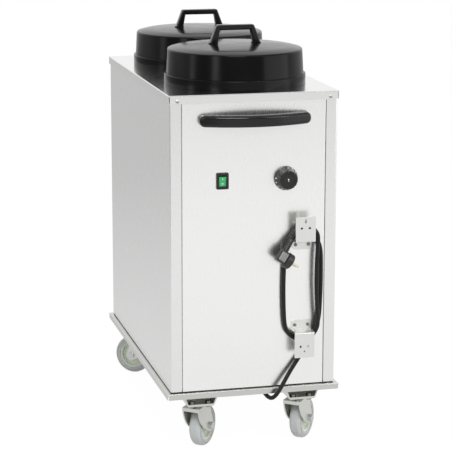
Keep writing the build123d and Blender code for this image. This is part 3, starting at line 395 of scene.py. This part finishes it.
mark_edge = 0.00012
dish_depth, dot_t = 0.0015, 0.0006
dots = ((0.0030, 0.0014), (0.0022, -0.0022))


def on_skirt(angle, height):
    """Placing of a flat mark on the knob's skirt, its top towards the face."""
    out = Vector((cos(angle), 0, sin(angle)))
    normal = (out + towards * taper).normalized()
    up = (towards - out * taper).normalized()
    across = up.cross(normal)
    at = knob_at + towards * height + out * (skirt_r - (height - collar_h) * taper)
    turn = Matrix((across, up, normal)).transposed().to_4x4()
    return Matrix.Translation(at) @ turn


tick = soft_block(tick_size, mark_edge)
marks = []
for i in range(mark_count):
    angle = radians(first_angle - angle_step * i)
    if i % figure_every == 0:
        bpy.ops.object.select_all(action="DESELECT")
        bpy.ops.object.text_add()
        figure = bpy.context.active_object
        figure.data.body = str(i // figure_every + 1)
        figure.data.size = figure_h
        figure.data.extrude = figure_t
        figure.data.align_x = "CENTER"
        figure.data.align_y = "CENTER"
        bpy.ops.object.convert(target="MESH")
        mark = bpy.context.active_object
        mark.matrix_world = on_skirt(angle, figure_up)
    else:
        mark = own_copy(tick, "tick")
        mark.matrix_world = on_skirt(angle, tick_up)
    marks.append(mark)
bpy.data.objects.remove(tick)
for size, rise in dots:
    bpy.ops.object.select_all(action="DESELECT")
    bpy.ops.mesh.primitive_cylinder_add(vertices=24, radius=size / 2, depth=dot_t)
    dot = bpy.context.active_object
    soften(mark_edge, 2)
    dish_floor = knob_at + towards * (knob_h - dish_depth) + Vector((0, 0, rise))
    dot.matrix_world = Matrix.Translation(dish_floor) @ face_on
    marks.append(dot)
knob_marks = joined(marks, "knob_marks", mark_paint)
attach(knob_marks, "thermostat_knob")

# Cord brackets: two bent steel strips, each with a tab on the panel, a web standing out and a
# plate with holes for the plug's pins. Two pan-head screws with a cross recess hold each.
bracket_steel = sheet_steel("bracket_steel", (0.80, 0.805, 0.78),
                            roughness=0.34, lines=(900.0, 900.0, 40.0))
dark_steel = sheet_steel("dark_steel", (0.26, 0.26, 0.245), roughness=0.36, lines=(400.0, 400.0, 400.0))
dress(bracket_steel, "cord_bracket_upper", "cord_bracket_lower")
bracket_x, tab_face_y = 0.1155, -0.3555
upper_screws_z, lower_screws_z, screw_aside = 0.499, 0.305, 0.0155
head_d, head_h, head_edge = 0.008, 0.0022, 0.0007
recess_size, recess_turns = (0.0046, 0.0011, 0.0026), (35, 125)
smooth_up_to = radians(35)
bpy.ops.object.select_all(action="DESELECT")
bpy.ops.mesh.primitive_cylinder_add(vertices=40, radius=head_d / 2, depth=head_h)
head = bpy.context.active_object
soften(head_edge, 3)
for turn in recess_turns:
    bpy.ops.object.select_all(action="DESELECT")
    bpy.ops.mesh.primitive_cube_add(size=1.0, location=(0, 0, head_h / 2), rotation=(0, 0, radians(turn)))
    cutter = bpy.context.active_object
    cutter.scale = recess_size
    bpy.ops.object.transform_apply(location=True, rotation=True, scale=True)
    only(head)
    recess = head.modifiers.new("recess", "BOOLEAN")
    recess.operation = "DIFFERENCE"
    recess.object = cutter
    bpy.ops.object.modifier_apply(modifier=recess.name)
    bpy.data.objects.remove(cutter)
screw_heads = []
for z in (upper_screws_z, lower_screws_z):
    for aside in (-screw_aside, screw_aside):
        at = Vector((bracket_x + aside, tab_face_y - head_h / 2, z))
        screw_head = own_copy(head, "screw_head")
        screw_head.matrix_world = Matrix.Translation(at) @ face_on
        screw_heads.append(screw_head)
bpy.data.objects.remove(head)
bracket_screws = joined(screw_heads, "bracket_screws", dark_steel)
bpy.ops.object.shade_smooth_by_angle(angle=smooth_up_to)
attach(bracket_screws, "cabinet")
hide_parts("cord_bracket_screws")

# Mains plug: a right-angle moulding of black rubber with two bright pins, hung by its lead beside
# the upper bracket. Four grip ribs stand on the side that shows; their pale grey is a painted sheen.
plug_rubber = moulding("plug_rubber", (0.010, 0.010, 0.009), (0.018, 0.018, 0.017),
                       roughness=0.28, pebbles=800.0, depth=0.0001, specular=0.5)
# The ribs' pale grey stands in for light catching black rubber: a painted highlight.
ribs_painted_sheen = moulding("ribs_painted_sheen", (0.42, 0.423, 0.40), (0.52, 0.523, 0.50),
                       roughness=0.4, pebbles=800.0, depth=0.0001, specular=0.5)
pin_metal = sheet_steel("pin_metal", (0.74, 0.66, 0.48), roughness=0.2, lines=(200.0, 200.0, 200.0))
dress(plug_rubber, "plug_body")
dress(pin_metal, "plug_pins")
panel_y, upper_z = -0.3535, 0.511
plug_lean, plug_tilt = radians(55.0), radians(9.0)
plug_along = Vector((sin(plug_lean), 0, -cos(plug_lean)))
plug_up = Vector((cos(plug_lean) * cos(plug_tilt), sin(plug_tilt), sin(plug_lean) * cos(plug_tilt)))
plug_side = plug_along.cross(plug_up)
plug_aside, plug_off, plug_drop = 0.035, 0.0315, 0.047
plug_face = Vector((bracket_x - plug_aside, panel_y - plug_off, upper_z - plug_drop))
plug_axes = Matrix((plug_up, plug_side, plug_along)).transposed().to_4x4()
plug_frame = Matrix.Translation(plug_face) @ plug_axes
rib_size, rib_edge, rib_count, rib_step = (0.021, 0.0016, 0.0019), 0.0005, 4, 0.0044
rib_up, rib_side, first_rib_back = 0.001, 0.0112, 0.0195
rib = soft_block(rib_size, rib_edge)
ribs = []
for i in range(rib_count):
    rib_back = first_rib_back + rib_step * i
    plug_rib = own_copy(rib, "plug_rib")
    plug_rib.matrix_world = plug_frame @ Matrix.Translation((rib_up, rib_side, -rib_back))
    ribs.append(plug_rib)
bpy.data.objects.remove(rib)
plug_ribs = joined(ribs, "plug_ribs", ribs_painted_sheen)
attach(plug_ribs, "cabinet")

# Mains lead: black rubber cable from a gland and a terminal box under the tray, up behind the lower
# bracket, and wound once round both brackets to the plug. The winding's turns alone hold it.
cord_rubber = moulding("cord_rubber", (0.004, 0.004, 0.004), (0.008, 0.008, 0.008),
                       roughness=0.4, pebbles=900.0, depth=0.0002, specular=0.3)
dress(inner_plastic, "terminal_box", "cord_gland")
cord_d = 0.010
rim_z, lower_z = 0.143, 0.293
near_off, far_off = 0.0085, 0.021
gland_mouth, gland_run = Vector((0.030, -0.3175, 0.141)), Vector((0, 0.017, 0))
over_rim = ((-0.082, 0.0, -0.0085), (-0.0755, 0.015, -0.011), (-0.067, 0.0215, -0.0035),
            (-0.0565, 0.022, 0.0115), (-0.0425, 0.0185, 0.034), (-0.0265, 0.0135, 0.058))
behind_lower = ((0.0125, -0.037), (0.0325, -0.005), (0.042, 0.029))
turn_gaps = 6
plug_back, plug_neck, neck_run = 0.027, 0.046, 0.020
top_x, top_z, top_r = bracket_x + 0.00075, upper_z - 0.027, 0.04375
low_x, low_z, low_r = bracket_x - 0.00325, lower_z + 0.019, 0.03975
last_r, last_sweep = 0.0298, 145
right_bow, left_bow, last_bow = 0.002, -0.003, -0.005


def turn_round(centre_x, centre_z, radius, first, last, first_off, last_off):
    """Points of one turn of the winding round a bracket."""
    points = []
    for i in range(turn_gaps + 1):
        share = i / turn_gaps
        angle = radians(first + (last - first) * share)
        off = first_off + (last_off - first_off) * share
        x, z = centre_x + radius * cos(angle), centre_z + radius * sin(angle)
        points.append(Vector((x, panel_y - off, z)))
    return points


def long_side(first, last, bow):
    """Points of one long side of the winding, bowed sideways."""
    points = []
    for share in (0.25, 0.5, 0.75):
        points.append(first + (last - first) * share + Vector((bow * sin(pi * share), 0, 0)))
    return points


route = [gland_mouth, gland_mouth - gland_run]
for aside, off, rise in over_rim:
    route.append(Vector((bracket_x + aside, panel_y - off, rim_z + rise)))
for aside, rise in behind_lower:
    route.append(Vector((bracket_x + aside, panel_y - near_off, lower_z + rise)))
cord_end = plug_face - plug_along * plug_back + plug_up * plug_neck
loop_end = cord_end + plug_up * neck_run
last_centre = loop_end + plug_along * last_r
top_turn = turn_round(top_x, top_z, top_r, 0, 180, near_off, near_off)
low_turn = turn_round(low_x, low_z, low_r, 180, 360, near_off, far_off)
last_turn = turn_round(last_centre.x, last_centre.z, last_r, 0, last_sweep, far_off, panel_y - loop_end.y)
route += long_side(route[-1], top_turn[0], right_bow) + top_turn
route += long_side(top_turn[-1], low_turn[0], left_bow) + low_turn
route += long_side(low_turn[-1], last_turn[0], last_bow) + last_turn + [cord_end]
mains_lead = round_wire("mains_lead", route, cord_d, round_steps=6, run_steps=8)
mains_lead.data.materials.append(cord_rubber)
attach(mains_lead, "cabinet")
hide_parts("cord_lead", "cord_winding")

# Castors: a pressed channel under the tray, a top plate with its race, a pressed fork that turns
# on a king pin, and a wheel with a moulded hub and a grey rubber tyre. The steel is zinc plated.
zinc_plate = sheet_steel("zinc_plate", (0.68, 0.685, 0.645), roughness=0.3, lines=(120.0, 120.0, 120.0))
hub_plastic = moulding("hub_plastic", (0.65, 0.70, 0.60), (0.72, 0.76, 0.66),
                       roughness=0.42, pebbles=500.0, depth=0.0002, specular=0.4)
tyre_rubber = moulding("tyre_rubber", (0.43, 0.45, 0.445), (0.50, 0.52, 0.515),
                       roughness=0.42, pebbles=700.0, depth=0.0003, specular=0.4)
dress(zinc_plate, "castor_channels", "castor_plates")
dress(dark_steel, "castor_bolts")
for corner in ("front_left", "front_right", "rear_left", "rear_right"):
    dress(zinc_plate, "castor_fork_" + corner)
    dress(screw_steel, "castor_axle_" + corner)
    dress(hub_plastic, "wheel_hub_" + corner)
    dress(tyre_rubber, "wheel_tyre_" + corner)

# Studio floor: a wide sheet of pale paper. The camera sees it white, but for the object's shadow.
# In the steel it mirrors paler and darker by place: it falls off in front, behind and at the left.
scene = bpy.context.scene
floor_size, paper_tone = 24.0, (0.86, 0.86, 0.86, 1.0)
floor_seen, white_share = 1.03, 0.94


def combined(tree, operation, first, second):
    """One value made of two, such as the lesser or the greater of them."""
    pair = tree.nodes.new("ShaderNodeMath")
    pair.operation = operation
    tree.links.new(first, pair.inputs[0])
    tree.links.new(second, pair.inputs[1])
    return pair.outputs[0]


def switched(tree, mask, off, on):
    """The first value where a mask is 0 and the second where it is 1; each a number or a socket."""
    pick = tree.nodes.new("ShaderNodeMix")
    pick.data_type = "FLOAT"
    tree.links.new(mask, pick.inputs["Factor"])
    for side, value in (("A", off), ("B", on)):
        if isinstance(value, float):
            pick.inputs[side].default_value = value
        else:
            tree.links.new(value, pick.inputs[side])
    return pick.outputs["Result"]


bpy.ops.object.select_all(action="DESELECT")
bpy.ops.mesh.primitive_plane_add(size=floor_size, location=(0, 0, 0))
floor = bpy.context.active_object
floor.name = "paper_floor"
paper = bpy.data.materials.new("floor_paper")
paper.use_nodes = True
tree = paper.node_tree
tree.nodes.clear()
out = tree.nodes.new("ShaderNodeOutputMaterial")
matt = tree.nodes.new("ShaderNodeBsdfDiffuse")
matt.inputs["Color"].default_value = paper_tone
white = tree.nodes.new("ShaderNodeEmission")
seen = tree.nodes.new("ShaderNodeLightPath")
place = tree.nodes.new("ShaderNodeTexCoord")
apart = tree.nodes.new("ShaderNodeSeparateXYZ")
tree.links.new(place.outputs["Object"], apart.inputs["Vector"])
front = ramp(tree, apart.outputs["Y"], low=-12.0, high=-8.5, at_low=0.15, at_high=1.0)
back = ramp(tree, apart.outputs["Y"], low=-2.4, high=3.2, at_low=1.0, at_high=0.6)
left = ramp(tree, apart.outputs["X"], low=-3.6, high=-1.7, at_low=0.3, at_high=1.0)
mirrored = combined(tree, "MINIMUM", combined(tree, "MINIMUM", front, back), left)
level = switched(tree, seen.outputs["Is Glossy Ray"], floor_seen, mirrored)
watched = combined(tree, "MAXIMUM", seen.outputs["Is Camera Ray"], seen.outputs["Is Glossy Ray"])
through = combined(tree, "MAXIMUM", watched, seen.outputs["Is Transmission Ray"])
share = tree.nodes.new("ShaderNodeMath")
share.operation = "MULTIPLY"
share.inputs[1].default_value = white_share
both = tree.nodes.new("ShaderNodeMixShader")
tree.links.new(level, white.inputs["Strength"])
tree.links.new(through, share.inputs[0])
tree.links.new(share.outputs[0], both.inputs["Fac"])
tree.links.new(matt.outputs["BSDF"], both.inputs[1])
tree.links.new(white.outputs["Emission"], both.inputs[2])
tree.links.new(both.outputs["Shader"], out.inputs["Surface"])
floor.data.materials.append(paper)

# Studio air: white to the camera. The steel mirrors it bright behind the object and overhead, and
# darker in front, as an unlit room is.
air_light, air_seen = 0.62, 1.0
air = bpy.data.worlds.new("studio_air")
scene.world = air
air.use_nodes = True
tree = air.node_tree
backdrop = tree.nodes["Background"]
backdrop.inputs["Color"].default_value = (1.0, 1.0, 1.0, 1.0)
seen = tree.nodes.new("ShaderNodeLightPath")
place = tree.nodes.new("ShaderNodeTexCoord")
apart = tree.nodes.new("ShaderNodeSeparateXYZ")
tree.links.new(place.outputs["Generated"], apart.inputs["Vector"])
behind = ramp(tree, apart.outputs["Y"], low=-0.35, high=0.35, at_low=0.3, at_high=1.0)
above = ramp(tree, apart.outputs["Z"], low=0.1, high=0.45, at_low=0.0, at_high=0.8)
mirrored = combined(tree, "MAXIMUM", behind, above)
lighting = switched(tree, seen.outputs["Is Glossy Ray"], air_light, mirrored)
watched = combined(tree, "MAXIMUM", seen.outputs["Is Camera Ray"], seen.outputs["Is Transmission Ray"])
level = switched(tree, watched, lighting, air_seen)
tree.links.new(level, backdrop.inputs["Strength"])

# Studio lamps: soft boxes in front of the object and at its sides, each turned to a height on the
# object's middle line. A row gives a lamp's name, place, that height, width, height and watts.
lamps = (("key_lamp", (2.2, -3.4, 2.6), 0.5, 1.6, 1.6, 27.0),
         ("left_strip", (-2.05, -2.2, 1.35), 1.35, 0.5, 1.5, 7.0),
         ("side_strip", (-3.0, -0.3, 1.35), 1.35, 0.5, 1.5, 4.0),
         ("right_screen", (2.65, -1.7, 1.25), 1.25, 2.8, 1.7, 20.0),
         ("top_strip", (-0.5, -2.6, 2.35), 0.8, 1.3, 1.2, 36.0))
for name, at, aim_z, width, height, watts in lamps:
    lamp = bpy.data.lights.new(name, "AREA")
    lamp.shape = "RECTANGLE"
    lamp.size = width
    lamp.size_y = height
    lamp.energy = watts
    holder = bpy.data.objects.new(name, lamp)
    holder.location = at
    holder.rotation_euler = (Vector((0, 0, aim_z)) - Vector(at)).to_track_quat("-Z", "Y").to_euler()
    scene.collection.objects.link(holder)

# Camera: a long lens in front of the object, a little to its left and above it.
# Its angles are how far it looks down, its roll, and its turn to the right.
look_down, roll, turn_right = 12.37, -0.08, 13.842
lens = bpy.data.cameras.new("photo_lens")
lens.sensor_fit = "HORIZONTAL"
lens.sensor_width = 36.0
lens.lens = 146.17
camera = bpy.data.objects.new("photo_lens", lens)
camera.location = (-1.0581, -4.3716, 1.4595)
camera.rotation_euler = (radians(90 - look_down), radians(roll), radians(-turn_right))
scene.collection.objects.link(camera)
scene.camera = camera
scene.view_settings.view_transform = "Standard"
